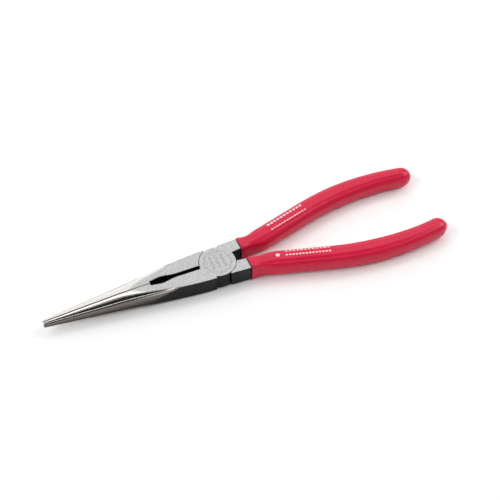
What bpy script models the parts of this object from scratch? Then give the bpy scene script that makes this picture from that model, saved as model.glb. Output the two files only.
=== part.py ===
"""Long-nose side-cutting pliers with a riveted lap joint and dipped grips.

Metres, +Z up.  The origin is on the pivot axis, on the flat underside of the joint.  The nose points
along -X, the handles along +X, and the jaws close on the plane y = 0.  The two forged halves are the
same piece: the left one is the right one turned half a turn about the tool's long axis.  Held with
the nose away from the hand, the right half has its handle on the right (+Y), its jaw on the left (-Y)
and its disc on top.
"""
import math

import bmesh
import bpy
from mathutils import Vector

MM = 0.001

# Joint: two discs of half the thickness, one on the other, on a flush rivet
JOINT_THICKNESS = 8.9 * MM
DISC_RADIUS = 8.8 * MM
SHOULDER_PROUD = 0.25 * MM  # the shoulders stand this far outside the disc's rim
JAW_SHOULDER_ANGLE = math.radians(22.8)  # from straight across the pivot to the jaw's shoulder
NECK_SHOULDER_ANGLE = math.radians(21.15)  # to the neck's shoulder; the two together are the opening
SEAM_CLEARANCE = 0.25 * MM  # from a disc's rim to the wall of the other half
LAP_CLEARANCE = 0.2 * MM  # between the two discs
RIVET_RADIUS = 3.0 * MM
RIVET_HEAD_RADIUS = 4.0 * MM
RIVET_HEAD_HEIGHT = 1.0 * MM
RIVET_CLEARANCE = 0.06 * MM  # radial, in both halves

# Nose: a block with tapered sides, ground to a crowned cone towards the tip
NOSE_LENGTH = 86.0 * MM  # pivot to tip
JAW_ROOT = 10.0 * MM  # pivot to where the straight taper of the sides starts
JAW_ROOT_DROP = 0.3 * MM  # half-width lost between the shoulder and the jaw's root
TIP_HALF_WIDTH = 1.65 * MM
TIP_HALF_THICKNESS = 1.55 * MM
TOP_RUNOUT = 45.0 * MM  # pivot to where the flat top and underside run out
SIDE_RUNOUT = 36.0 * MM  # pivot to where the flat sides run out
CORNER_RUNOUT = 21.0 * MM  # pivot to where the rounded corners start
TIP_CORNER_RADIUS = 1.1 * MM
TOP_RUNOUT_CORNER_RADIUS = 2.0 * MM
START_CORNER_RADIUS = 0.4 * MM
CROWN_RATIO = 0.27  # crown radius over the distance from the point where the sides would meet
SIDE_CROWN_RADIUS = 60.0 * MM
SIDE_FLARE = 0.01  # slope by which the cone's sides leave the block's sides behind the side run-out
JAW_CLEARANCE = 0.2 * MM  # between the closed jaws

# Cutter: a V relief from both faces, with the cutting edges at mid-thickness
CUTTER_LENGTH = 11.9 * MM
CUTTER_HALF_WIDTH = 1.0 * MM
CUTTER_LAND = 0.2 * MM
CUTTER_SETBACK = 0.03 * MM  # of each cutting edge from the closing face
CUTTER_OVERLAP = 0.5 * MM  # by which the relief runs on into the oval ahead of it

# Pipe grip: a toothed oval ahead of the cutter
OVAL_LENGTH = 13.0 * MM
OVAL_FRONT_HALF_WIDTH = 1.3 * MM
OVAL_HALF_WIDTH = 2.0 * MM
OVAL_WIDEST = 5.5 * MM  # from the oval's front end to its widest place
OVAL_TEETH = 10
TOOTH_HEIGHT = 0.45 * MM

# Necks: the straight blocks between the joint and the grips
NECK_LENGTH = 4.6 * MM  # from the disc's rim to the end of the neck
NOTCH_HALF_WIDTH = 2.75 * MM  # of the notch between the necks, at the disc
NECK_INNER_SPLAY = 0.6 * MM  # by which the notch widens on each side at the end of the neck
NECK_OUTER_SPLAY = 0.5 * MM

# Handles: a curved lead-in, a straight run and an arc that brings the ends back in
HANDLE_LENGTH = 114.0 * MM  # pivot to the end of the grips
LEAD_IN_LENGTH = 16.7 * MM
LEAD_IN_RISE = 2.55 * MM
HANDLE_ANGLE = math.radians(15.6)
STRAIGHT_LENGTH = 23.0 * MM
HANDLE_ARC_RADIUS = 129.0 * MM

# Grips: dipped sleeves with a flared mouth, a waist behind it and a round end
MOUTH_GAP = 0.15 * MM  # from the end of the neck to the grip's mouth
GRIP_GAP = 0.3 * MM  # between the tang and the grip
GRIP_WALL = 1.0 * MM
TANG_STEP = 0.1 * MM  # from the neck's faces down to the root of the tang
MOUTH_LIP = 0.9 * MM  # the mouth stands this far proud of the neck
WAIST_LENGTH = 5.0 * MM  # mouth to waist
WAIST_HALF_WIDTH = 3.7 * MM
WAIST_HALF_THICKNESS = 4.7 * MM
PALM_LENGTH = 13.0 * MM  # mouth to the start of the full section
PALM_RUN = 43.7 * MM  # length of the full section, before it thins towards the tail
PALM_HALF_WIDTH = 5.3 * MM
PALM_HALF_THICKNESS = 4.95 * MM
TAIL_HALF_WIDTH = 4.4 * MM
TAIL_HALF_THICKNESS = 4.85 * MM
GRIP_END_LENGTH = 5.6 * MM  # of the round end
TANG_SETBACK = 3.5 * MM  # from the end of the grip to the end of the tang
MOUTH_SQUARENESS = 6.0  # exponent of the section's superellipse at the mouth
PALM_SQUARENESS = 2.6

# Fineness of the facets
DISC_SEGMENTS = 72
RIVET_SEGMENTS = 48
CROWN_STEPS = 6
CORNER_STEPS = 5
SIDE_STEPS = 3
HANDLE_POINTS = 24
MOUTH_STATIONS = 7  # from the grip's mouth to its full section
PALM_STATIONS = 20
END_STATIONS = 6
SHARP_ANGLE = math.radians(30)  # edges that turn by more than this are shaded sharp
OVERRUN = 2.0 * MM  # by which a cutter passes the face that it cuts
ENVELOPE_FLARE = 2.5  # growth of the nose's envelope behind the corner run-out, clear of the block
MERGE_DISTANCE = 0.001 * MM
SLOPE_STEP = 0.1 * MM  # to each side of a point where a slope is measured

MID_HEIGHT = JOINT_THICKNESS / 2
SHOULDER_HALF_WIDTH = DISC_RADIUS + SHOULDER_PROUD
JAW_SHOULDER = SHOULDER_HALF_WIDTH * math.tan(JAW_SHOULDER_ANGLE)
NECK_SHOULDER = SHOULDER_HALF_WIDTH * math.tan(NECK_SHOULDER_ANGLE)
POCKET_RADIUS = DISC_RADIUS + SEAM_CLEARANCE
CUTTER_REAR = -POCKET_RADIUS
CUTTER_FRONT = CUTTER_REAR - CUTTER_LENGTH
OVAL_FRONT = CUTTER_FRONT - OVAL_LENGTH
NECK_END = DISC_RADIUS + NECK_LENGTH
NECK_INNER = NOTCH_HALF_WIDTH + NECK_INNER_SPLAY
NECK_OUTER = SHOULDER_HALF_WIDTH + NECK_OUTER_SPLAY
NECK_CENTRE = (NECK_INNER + NECK_OUTER) / 2
NECK_HALF_WIDTH = (NECK_OUTER - NECK_INNER) / 2
GRIP_START = NECK_END + MOUTH_GAP

STEEL_COLOUR = (0.60, 0.61, 0.62, 1.0)
RIVET_COLOUR = (0.52, 0.53, 0.54, 1.0)
GRIP_COLOUR = (0.62, 0.015, 0.045, 1.0)


def interpolate(x, stations):
    """Value at x on the straight runs between (x, value) stations, which go on past both ends."""
    pairs = list(zip(stations, stations[1:]))
    for (x0, value0), (x1, value1) in pairs:
        if x <= x1:
            break
    return value0 + (value1 - value0) * (x - x0) / (x1 - x0)


def ease(x, stations):
    """Value at x on a smooth curve that is level at each (x, value) station, and past both ends."""
    if x <= stations[0][0]:
        return stations[0][1]
    for (x0, value0), (x1, value1) in zip(stations, stations[1:]):
        if x <= x1:
            t = (x - x0) / (x1 - x0)
            return value0 + (value1 - value0) * t * t * (3 - 2 * t)
    return stations[-1][1]


# ---------------------------------------------------------------- mesh helpers

def loft(name, rings):
    """Closed solid through rings of points, in order, with a flat cap at each end."""
    bm = bmesh.new()
    loops = [[bm.verts.new(point) for point in ring] for ring in rings]
    for near, far in zip(loops, loops[1:]):
        count = len(near)
        for i in range(count):
            j = (i + 1) % count
            bm.faces.new((near[i], near[j], far[j], far[i]))
    bm.faces.new(reversed(loops[0]))
    bm.faces.new(loops[-1])
    return to_object(name, bm)


def prism(name, outline, direction):
    """Solid swept by a flat outline moved along the vector direction."""
    bm = bmesh.new()
    face = bm.faces.new([bm.verts.new(point) for point in outline])
    swept = bmesh.ops.extrude_face_region(bm, geom=[face])["geom"]
    moved = [item for item in swept if isinstance(item, bmesh.types.BMVert)]
    bmesh.ops.translate(bm, verts=moved, vec=direction)
    return to_object(name, bm)


def turned(name, profile, segments):
    """Solid turned about Z from a profile of (radius, z) points that starts and ends on the axis."""
    bm = bmesh.new()
    verts = [bm.verts.new((radius, 0.0, z)) for radius, z in profile]
    edges = [bm.edges.new(pair) for pair in zip(verts, verts[1:])]
    bmesh.ops.spin(bm, geom=verts + edges, cent=(0, 0, 0), axis=(0, 0, 1),
                   angle=2 * math.pi, steps=segments)
    bmesh.ops.remove_doubles(bm, verts=bm.verts, dist=MERGE_DISTANCE)
    return to_object(name, bm)


def to_object(name, bm):
    """Object made of the bmesh, with its faces pointing out."""
    bmesh.ops.recalc_face_normals(bm, faces=bm.faces)
    mesh = bpy.data.meshes.new(name)
    bm.to_mesh(mesh)
    bm.free()
    obj = bpy.data.objects.new(name, mesh)
    bpy.context.scene.collection.objects.link(obj)
    return obj


def combine(target, other, operation):
    """Joins, cuts or trims the target with the other object, which is used up."""
    other.hide_render = True
    other.display_type = "WIRE"
    modifier = target.modifiers.new(other.name, "BOOLEAN")
    modifier.operation = operation
    modifier.solver = "EXACT"
    modifier.object = other
    graph = bpy.context.evaluated_depsgraph_get()
    result = bpy.data.meshes.new_from_object(target.evaluated_get(graph))
    target.modifiers.clear()
    target.data = result
    bpy.data.objects.remove(other)


def material(name, colour, metallic, roughness):
    """Principled material in one colour."""
    made = bpy.data.materials.new(name)
    made.use_nodes = True
    shader = made.node_tree.nodes["Principled BSDF"]
    shader.inputs["Base Color"].default_value = colour
    shader.inputs["Metallic"].default_value = metallic
    shader.inputs["Roughness"].default_value = roughness
    return made


def finish(obj, name, surface):
    """Names the object and its mesh, gives it its material and shades its round faces smooth."""
    obj.name = name
    obj.data.name = name
    obj.data.materials.clear()
    obj.data.materials.append(surface)
    obj.data.shade_smooth()
    obj.data.set_sharp_from_angle(angle=SHARP_ANGLE)


# ---------------------------------------------------------------- forged half

def rim_arc(start, end):
    """Points on the disc's rim from one angle to another, both in radians."""
    steps = max(2, round(abs(end - start) / (2 * math.pi) * DISC_SEGMENTS))
    angles = [start + (end - start) * i / steps for i in range(steps + 1)]
    return [(DISC_RADIUS * math.cos(angle), DISC_RADIUS * math.sin(angle)) for angle in angles]


def jaw_half_width(x):
    """Half-width of the block at x, from the shoulder to the tip and straight on past it."""
    return interpolate(x, [(-NOSE_LENGTH, TIP_HALF_WIDTH),
                           (-JAW_ROOT, SHOULDER_HALF_WIDTH - JAW_ROOT_DROP),
                           (-JAW_SHOULDER, SHOULDER_HALF_WIDTH)])


def half_outline():
    """Plan of the right half: the left jaw, the disc and the right neck, clockwise from the tip."""
    closing = -JAW_CLEARANCE / 2
    seam_angle = math.pi + math.asin(-closing / DISC_RADIUS)
    neck_start_angle = math.acos(NECK_SHOULDER / DISC_RADIUS)
    neck_inner_angle = math.asin(NOTCH_HALF_WIDTH / DISC_RADIUS)
    jaw_shoulder_angle = -math.acos(-JAW_SHOULDER / DISC_RADIUS)
    return [(-NOSE_LENGTH, closing),
            *rim_arc(seam_angle, neck_start_angle),
            (NECK_SHOULDER, SHOULDER_HALF_WIDTH),
            (NECK_END, NECK_OUTER),
            (NECK_END, NECK_INNER),
            *rim_arc(neck_inner_angle, jaw_shoulder_angle),
            (-JAW_SHOULDER, -SHOULDER_HALF_WIDTH),
            (-JAW_ROOT, -jaw_half_width(-JAW_ROOT)),
            (-NOSE_LENGTH, -TIP_HALF_WIDTH)]


def arc_section(half_width, half_thickness, crown_radius, corner_radius):
    """One quarter of the nose's section: the crown, the rounded corner and the bowed side.

    The corner's circle touches the crown's and the side's from inside, so its centre is where the
    circles about their centres, each less the corner's radius, cross.
    """
    crown_centre = Vector((0.0, half_thickness - crown_radius))
    side_centre = Vector((half_width - SIDE_CROWN_RADIUS, 0.0))
    crown_reach = crown_radius - corner_radius
    side_reach = SIDE_CROWN_RADIUS - corner_radius
    apart = side_centre - crown_centre
    along = (crown_reach ** 2 - side_reach ** 2 + apart.length_squared) / (2 * apart.length)
    across = math.sqrt(crown_reach ** 2 - along ** 2)
    unit = apart.normalized()
    corner_centre = crown_centre + unit * along + Vector((-unit.y, unit.x)) * across
    if corner_centre.y < 0:
        corner_centre = crown_centre + unit * along - Vector((-unit.y, unit.x)) * across
    crown_end = (corner_centre - crown_centre).angle_signed(Vector((1, 0)))
    side_start = (corner_centre - side_centre).angle_signed(Vector((1, 0)))
    points = []
    for centre, radius, start, end, steps in (
            (crown_centre, crown_radius, math.pi / 2, crown_end, CROWN_STEPS),
            (corner_centre, corner_radius, crown_end, side_start, CORNER_STEPS),
            (side_centre, SIDE_CROWN_RADIUS, side_start, 0.0, SIDE_STEPS)):
        for i in range(steps):
            angle = start + (end - start) * i / steps
            points.append((centre.x + radius * math.cos(angle), centre.y + radius * math.sin(angle)))
    points.append((half_width, 0.0))
    return points


def nose_section(x):
    """Ring of points around the ground cone of the nose at x."""
    taper = (MID_HEIGHT - TIP_HALF_THICKNESS) / (NOSE_LENGTH - TOP_RUNOUT)
    half_thickness = MID_HEIGHT + taper * (x + TOP_RUNOUT)
    half_width = jaw_half_width(x) + SIDE_FLARE * max(0.0, x + SIDE_RUNOUT)
    width_taper = (jaw_half_width(-JAW_ROOT) - TIP_HALF_WIDTH) / (NOSE_LENGTH - JAW_ROOT)
    apex = -NOSE_LENGTH - TIP_HALF_WIDTH / width_taper
    crown_radius = CROWN_RATIO * (x - apex)
    corner_radius = interpolate(x, [(-NOSE_LENGTH, TIP_CORNER_RADIUS),
                                    (-TOP_RUNOUT, TOP_RUNOUT_CORNER_RADIUS),
                                    (-CORNER_RUNOUT, START_CORNER_RADIUS)])
    quarter = arc_section(half_width, half_thickness, crown_radius, corner_radius)
    right = quarter + [(y, -z) for y, z in reversed(quarter[:-1])]
    left = [(-y, z) for y, z in reversed(right[1:-1])]
    return [(x, y, MID_HEIGHT + z) for y, z in right + left]


def nose_envelope():
    """The ground cone from past the tip to the corner run-out, then a wide block over the joint."""
    stations = [-NOSE_LENGTH - OVERRUN, -TOP_RUNOUT, -SIDE_RUNOUT, -CORNER_RUNOUT]
    rings = [nose_section(x) for x in stations]
    wide = [(y * ENVELOPE_FLARE, MID_HEIGHT + (z - MID_HEIGHT) * ENVELOPE_FLARE)
            for _, y, z in rings[-1]]
    for x in (-CORNER_RUNOUT + OVERRUN, NECK_END + OVERRUN):
        rings.append([(x, y, z) for y, z in wide])
    return loft("nose_envelope", rings)


def lap_pocket():
    """Room for the other half's disc, under this half's own disc."""
    top = MID_HEIGHT + LAP_CLEARANCE / 2
    return turned("lap_pocket", [(0.0, -OVERRUN), (POCKET_RADIUS, -OVERRUN), (POCKET_RADIUS, top),
                                 (0.0, top)], DISC_SEGMENTS)


def rivet_profile(clearance, overrun):
    """Half-profile of the rivet, grown by a radial clearance and run past the faces."""
    shank = RIVET_RADIUS + clearance
    head = RIVET_HEAD_RADIUS + clearance
    cone = (RIVET_HEAD_RADIUS - RIVET_RADIUS) / RIVET_HEAD_HEIGHT
    low = -overrun
    high = JOINT_THICKNESS + overrun
    return [(0.0, low), (head + overrun * cone, low), (shank, RIVET_HEAD_HEIGHT),
            (shank, JOINT_THICKNESS - RIVET_HEAD_HEIGHT), (head + overrun * cone, high), (0.0, high)]


def cutter_relief():
    """The V relief of the side cutter in the left jaw, from both faces to the cutting edge."""
    edge = -JAW_CLEARANCE / 2 - CUTTER_SETBACK
    slope = (CUTTER_HALF_WIDTH + edge) / (MID_HEIGHT - CUTTER_LAND / 2)
    outer = -CUTTER_HALF_WIDTH - slope * OVERRUN
    outline = [(OVERRUN, -OVERRUN), (OVERRUN, JOINT_THICKNESS + OVERRUN),
               (outer, JOINT_THICKNESS + OVERRUN), (edge, MID_HEIGHT + CUTTER_LAND / 2),
               (edge, MID_HEIGHT - CUTTER_LAND / 2), (outer, -OVERRUN)]
    return prism("cutter_relief", [(CUTTER_FRONT - CUTTER_OVERLAP, y, z) for y, z in outline],
                 (CUTTER_LENGTH + CUTTER_OVERLAP, 0, 0))


def pipe_grip():
    """The left jaw's half of the toothed oval, which goes right through."""
    widest = OVAL_FRONT + OVAL_WIDEST
    outline = [(CUTTER_FRONT, OVERRUN), (OVAL_FRONT, OVERRUN)]
    for i in range(2 * OVAL_TEETH + 1):
        x = OVAL_FRONT + OVAL_LENGTH * i / (2 * OVAL_TEETH)
        half_width = ease(x, [(OVAL_FRONT, OVAL_FRONT_HALF_WIDTH), (widest, OVAL_HALF_WIDTH),
                              (CUTTER_FRONT, CUTTER_HALF_WIDTH)])
        tooth = TOOTH_HEIGHT / 2 if i % 2 else -TOOTH_HEIGHT / 2
        outline.append((x, -half_width - tooth))
    return prism("pipe_grip", [(x, y, -OVERRUN) for x, y in outline],
                 (0, 0, JOINT_THICKNESS + 2 * OVERRUN))


def forged_half(surface):
    """The right half: a block cut to its outline, ground at the nose, with its tang drawn out."""
    half = prism("right_half", [(x, y, 0.0) for x, y in half_outline()], (0, 0, JOINT_THICKNESS))
    combine(half, nose_envelope(), "INTERSECT")
    combine(half, lap_pocket(), "DIFFERENCE")
    combine(half, turned("rivet_hole", rivet_profile(RIVET_CLEARANCE, OVERRUN), RIVET_SEGMENTS),
            "DIFFERENCE")
    combine(half, pipe_grip(), "DIFFERENCE")
    combine(half, cutter_relief(), "DIFFERENCE")
    combine(half, tang(), "UNION")
    finish(half, "right_half", surface)
    return half


# ---------------------------------------------------------------- handle and grip

def handle_centre(x):
    """Distance of the handle's centre line from the closing plane at x.

    A cubic leaves the neck level and reaches the handle's slope, a straight run follows, and then an
    arc that turns the handle back towards the other one.
    """
    slope = math.tan(HANDLE_ANGLE)
    if x < NECK_END + LEAD_IN_LENGTH:
        t = max(0.0, (x - NECK_END) / LEAD_IN_LENGTH)
        rise = LEAD_IN_RISE * t * t * (3 - 2 * t)
        return NECK_CENTRE + rise + slope * LEAD_IN_LENGTH * t * t * (t - 1)
    lead_in_end = NECK_CENTRE + LEAD_IN_RISE
    arc_start = NECK_END + LEAD_IN_LENGTH + STRAIGHT_LENGTH
    if x < arc_start:
        return lead_in_end + slope * (x - NECK_END - LEAD_IN_LENGTH)
    from_peak = x - arc_start - HANDLE_ARC_RADIUS * math.sin(HANDLE_ANGLE)
    drop = HANDLE_ARC_RADIUS * math.cos(HANDLE_ANGLE)
    fall = math.sqrt(HANDLE_ARC_RADIUS ** 2 - from_peak ** 2) - drop
    return lead_in_end + slope * STRAIGHT_LENGTH + fall


def handle_section(x, half_width, half_thickness, squareness):
    """Ring of points square to the handle's centre line at x, on a superellipse."""
    rise = handle_centre(x + SLOPE_STEP) - handle_centre(x - SLOPE_STEP)
    slope = rise / (2 * SLOPE_STEP)
    across = Vector((-slope, 1.0)).normalized()
    ring = []
    for i in range(HANDLE_POINTS):
        angle = 2 * math.pi * (i + 0.5) / HANDLE_POINTS
        c = math.cos(angle)
        s = math.sin(angle)
        sideways = half_width * math.copysign(abs(c) ** (2 / squareness), c)
        upwards = half_thickness * math.copysign(abs(s) ** (2 / squareness), s)
        ring.append((x + across.x * sideways, handle_centre(x) + across.y * sideways,
                     MID_HEIGHT + upwards))
    return ring


def grip_sizes(x):
    """Half-width, half-thickness and squareness of the grip's outside at x, before its round end."""
    waist = GRIP_START + WAIST_LENGTH
    palm = GRIP_START + PALM_LENGTH
    palm_end = palm + PALM_RUN
    half_width = ease(x, [(GRIP_START, NECK_HALF_WIDTH + MOUTH_LIP), (waist, WAIST_HALF_WIDTH),
                          (palm, PALM_HALF_WIDTH), (palm_end, PALM_HALF_WIDTH),
                          (HANDLE_LENGTH, TAIL_HALF_WIDTH)])
    half_thickness = ease(x, [(GRIP_START, MID_HEIGHT + MOUTH_LIP), (waist, WAIST_HALF_THICKNESS),
                              (palm, PALM_HALF_THICKNESS), (palm_end, PALM_HALF_THICKNESS),
                              (HANDLE_LENGTH, TAIL_HALF_THICKNESS)])
    squareness = ease(x, [(GRIP_START, MOUTH_SQUARENESS), (palm, PALM_SQUARENESS)])
    return half_width, half_thickness, squareness


def handle_stations():
    """Places along the handle, closer together at the flared mouth than along the palm.

    The grip, its cavity and the tang share them, so their facets keep the same gap all along.
    """
    palm = GRIP_START + PALM_LENGTH
    tang_end = HANDLE_LENGTH - TANG_SETBACK - GRIP_END_LENGTH
    mouth = [GRIP_START + PALM_LENGTH * i / MOUTH_STATIONS for i in range(MOUTH_STATIONS)]
    rest = [palm + (tang_end - palm) * i / PALM_STATIONS for i in range(PALM_STATIONS)]
    return mouth + rest


def handle_loft(name, start, end, inset):
    """Solid along the handle from start to end, inset from the grip's outside, with a round end.

    The inset is a function of x.
    """
    round_start = end - GRIP_END_LENGTH
    places = [(start, 1.0), *[(x, 1.0) for x in handle_stations() if x > start]]
    for i in range(END_STATIONS):
        angle = math.pi / 2 * i / END_STATIONS
        places.append((round_start + GRIP_END_LENGTH * math.sin(angle), math.cos(angle)))
    rings = []
    for x, shrink in places:
        half_width, half_thickness, squareness = grip_sizes(x)
        rings.append(handle_section(x, (half_width - inset(x)) * shrink,
                                    (half_thickness - inset(x)) * shrink, squareness))
    return loft(name, rings)


def tang_inset(x):
    """Depth of the tang under the grip's outside: down to the neck's root, then wall and gap."""
    return ease(x, [(GRIP_START, MOUTH_LIP + TANG_STEP),
                    (GRIP_START + WAIST_LENGTH, GRIP_WALL + GRIP_GAP)])


def cavity_inset(x):
    """Depth of the sleeve's inner wall under its outside, a gap clear of the tang."""
    return tang_inset(x) - GRIP_GAP


def tang():
    """The part of the forging inside the grip, with its root in the neck."""
    return handle_loft("tang", NECK_END - OVERRUN, HANDLE_LENGTH - TANG_SETBACK, tang_inset)


def grip(surface):
    """The right handle's dipped sleeve, open at its mouth, around the tang."""
    sleeve = handle_loft("right_grip", GRIP_START, HANDLE_LENGTH, lambda x: 0.0)
    cavity = handle_loft("grip_cavity", NECK_END - OVERRUN, HANDLE_LENGTH - TANG_SETBACK + GRIP_GAP,
                         cavity_inset)
    combine(sleeve, cavity, "DIFFERENCE")
    finish(sleeve, "right_grip", surface)
    return sleeve


def turned_over(piece, name):
    """Adds the same piece turned half a turn about the tool's long axis, at mid-thickness."""
    other = bpy.data.objects.new(name, piece.data)
    other.location = (0, 0, JOINT_THICKNESS)
    other.rotation_euler = (math.pi, 0, 0)
    bpy.context.scene.collection.objects.link(other)


def main():
    for obj in list(bpy.data.objects):
        bpy.data.objects.remove(obj)
    steel = material("ground_steel", STEEL_COLOUR, 1.0, 0.35)
    rivet_steel = material("rivet_steel", RIVET_COLOUR, 1.0, 0.4)
    dipped_pvc = material("dipped_pvc", GRIP_COLOUR, 0.0, 0.3)
    turned_over(forged_half(steel), "left_half")
    turned_over(grip(dipped_pvc), "left_grip")
    rivet = turned("pivot_rivet", rivet_profile(0.0, 0.0), RIVET_SEGMENTS)
    finish(rivet, "pivot_rivet", rivet_steel)


main()
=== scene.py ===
"""Long-nose side-cutting pliers: finished surfaces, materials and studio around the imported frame.

Metres, +Z up, in the frame's own axes.  The pivot axis is Z through the origin, the nose points along
-X, the handles along +X, and the jaws close on the plane y = 0.  Both forged halves have one shape:
the left one is the right one turned half a turn about the tool's long axis, at mid-thickness.
"""

import logging
import math
from dataclasses import dataclass
from enum import Enum

import bmesh
import bpy
import numpy as np
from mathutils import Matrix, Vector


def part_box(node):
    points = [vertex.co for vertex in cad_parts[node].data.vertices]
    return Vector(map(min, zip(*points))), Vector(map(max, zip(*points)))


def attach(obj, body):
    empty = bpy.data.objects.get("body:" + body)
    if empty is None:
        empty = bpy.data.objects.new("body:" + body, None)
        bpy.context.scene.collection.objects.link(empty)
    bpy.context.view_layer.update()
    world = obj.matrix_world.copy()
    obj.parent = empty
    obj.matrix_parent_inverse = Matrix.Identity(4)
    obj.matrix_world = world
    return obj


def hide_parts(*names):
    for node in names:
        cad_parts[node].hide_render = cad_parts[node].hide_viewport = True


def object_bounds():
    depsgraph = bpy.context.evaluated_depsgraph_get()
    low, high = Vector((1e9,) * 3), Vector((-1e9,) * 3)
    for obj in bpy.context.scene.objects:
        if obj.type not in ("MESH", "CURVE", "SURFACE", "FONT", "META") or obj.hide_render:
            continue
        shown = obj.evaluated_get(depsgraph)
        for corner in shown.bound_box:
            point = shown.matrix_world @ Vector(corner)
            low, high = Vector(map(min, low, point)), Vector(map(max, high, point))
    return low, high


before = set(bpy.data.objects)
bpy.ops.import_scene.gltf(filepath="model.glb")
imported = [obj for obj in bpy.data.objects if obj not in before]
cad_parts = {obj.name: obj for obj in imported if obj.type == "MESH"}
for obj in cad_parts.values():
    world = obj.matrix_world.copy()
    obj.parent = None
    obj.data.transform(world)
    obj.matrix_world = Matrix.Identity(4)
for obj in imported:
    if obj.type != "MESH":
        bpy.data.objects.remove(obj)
CAD_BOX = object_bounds()

MM = 0.001
EDGE_STEPS = 4
SHARP_ANGLE = math.radians(35)
Tree = bpy.types.NodeTree
Socket = bpy.types.NodeSocket
LOG = logging.getLogger("pliers")


class Side(Enum):
    """The two halves, named with the nose pointing away from the hand."""

    RIGHT = "right"
    LEFT = "left"


class Fit(Enum):
    """How one solid is worked into another."""

    JOIN = "UNION"
    CUT = "DIFFERENCE"


# ---------------------------------------------------------------- surfaces

def ease(x: np.ndarray, places: list[float], values: list[float]) -> np.ndarray:
    """Smooth curve that is level at each given place.

    Between two places the value follows t * t * (3 - 2 t), with t the share of the way.

    Args:
        x: Where the curve is wanted.
        places: Places in rising order.
        values: The value at each place, held past both ends.

    Returns:
        The curve's value at each x.
    """
    place = np.asarray(places)
    value = np.asarray(values)
    index = np.clip(np.searchsorted(place, x) - 1, 0, len(place) - 2)
    t = np.clip((x - place[index]) / (place[index + 1] - place[index]), 0.0, 1.0)
    return value[index] + (value[index + 1] - value[index]) * t * t * (3 - 2 * t)


def run(start: float, end: float, count: int) -> np.ndarray:
    """Evenly spaced values from start up to, but not including, end."""
    return np.linspace(start, end, count, endpoint=False)


def quarter_round(radius: float) -> tuple[np.ndarray, np.ndarray]:
    """Quarter circle of a rounded edge, as its distances from the two faces that it joins.

    The first is radius * (1 - sin a) and the second radius * (1 - cos a), a running from 0 to 90 degrees.

    Args:
        radius: Radius of the edge.

    Returns:
        The falling and the rising distances.
    """
    angle = np.linspace(0.0, math.pi / 2, EDGE_STEPS)
    return radius * (1 - np.sin(angle)), radius * (1 - np.cos(angle))


def rounded_off(distance: np.ndarray, radius: float) -> np.ndarray:
    """How far a rounded edge draws a side in at a distance from the end face.

    It is radius - sqrt(radius ^ 2 - (radius - distance) ^ 2), and nothing past the radius.

    Args:
        distance: Distances from the end face.
        radius: Radius of the edge.

    Returns:
        The side's inset at each distance.
    """
    reach = np.maximum(radius - distance, 0.0)
    return radius - np.sqrt(np.maximum(radius ** 2 - reach ** 2, 0.0))


def closed_pieces(name: str, stacks: np.ndarray) -> bpy.types.Object:
    """Closed shells through stacks of rings, with quads between rings and a flat face on each end.

    Args:
        name: The object's name.
        stacks: Array of shells, rings in each shell, points round each ring and coordinates.

    Returns:
        The new object, at the origin, with its faces pointing out.
    """
    shells, rows, columns, _ = stacks.shape
    row, column = np.meshgrid(np.arange(rows - 1), np.arange(columns), indexing="ij")
    here = row * columns + column
    beside = row * columns + (column + 1) % columns
    quads = np.stack([here, beside, beside + columns, here + columns], axis=-1).reshape(-1, 4)
    around = np.arange(columns)
    ends = np.stack([around[::-1], around + (rows - 1) * columns])
    shell = rows * columns * np.arange(shells)[:, None, None]
    faces = [*(shell + quads).reshape(-1, 4).tolist(), *(shell + ends).reshape(-1, columns).tolist()]
    mesh = bpy.data.meshes.new(name)
    mesh.from_pydata(stacks.reshape(-1, 3), [], faces)
    piece = bpy.data.objects.new(name, mesh)
    bpy.context.scene.collection.objects.link(piece)
    face_outwards(piece)
    return piece


def closed_piece(name: str, rings: np.ndarray) -> bpy.types.Object:
    """One closed shell through a stack of rings."""
    return closed_pieces(name, rings[None])


def face_outwards(piece: bpy.types.Object) -> None:
    """Turns every face of a closed mesh outwards.

    Args:
        piece: The object whose mesh is turned.
    """
    bm = bmesh.new()
    bm.from_mesh(piece.data)
    bmesh.ops.recalc_face_normals(bm, faces=bm.faces)
    bm.to_mesh(piece.data)
    bm.free()


def turned(name: str, radius: np.ndarray, height: np.ndarray, segments: int) -> bpy.types.Object:
    """Solid of revolution about Z: each profile point is carried round a circle of its radius.

    Args:
        name: The object's name.
        radius: The profile's radii, none of them zero.
        height: The profile's heights.
        segments: Facets in a full turn.

    Returns:
        The new object.
    """
    angle = run(0.0, 2 * math.pi, segments)
    rings = np.stack([radius[:, None] * np.cos(angle), radius[:, None] * np.sin(angle),
                      height[:, None] + np.zeros(segments)], axis=-1)
    return closed_piece(name, rings)


def rounded_outline(corners: np.ndarray, radius: float, steps: int) -> np.ndarray:
    """Convex outline with an arc in each corner.

    Each corner is replaced by points on a quadratic curve that leaves one side and joins the next at
    the radius's distance from the corner.

    Args:
        corners: Corner points in order.
        radius: Distance from each corner at which its curve starts and ends.
        steps: Points in each corner.

    Returns:
        The outline's points.
    """
    back = np.roll(corners, 1, axis=0) - corners
    ahead = np.roll(corners, -1, axis=0) - corners
    start = corners + radius * back / np.linalg.norm(back, axis=1, keepdims=True)
    end = corners + radius * ahead / np.linalg.norm(ahead, axis=1, keepdims=True)
    t = np.linspace(0.0, 1.0, steps)[None, :, None]
    curve = (1 - t) ** 2 * start[:, None] + 2 * t * (1 - t) * corners[:, None] + t ** 2 * end[:, None]
    return curve.reshape(-1, 2)


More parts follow.
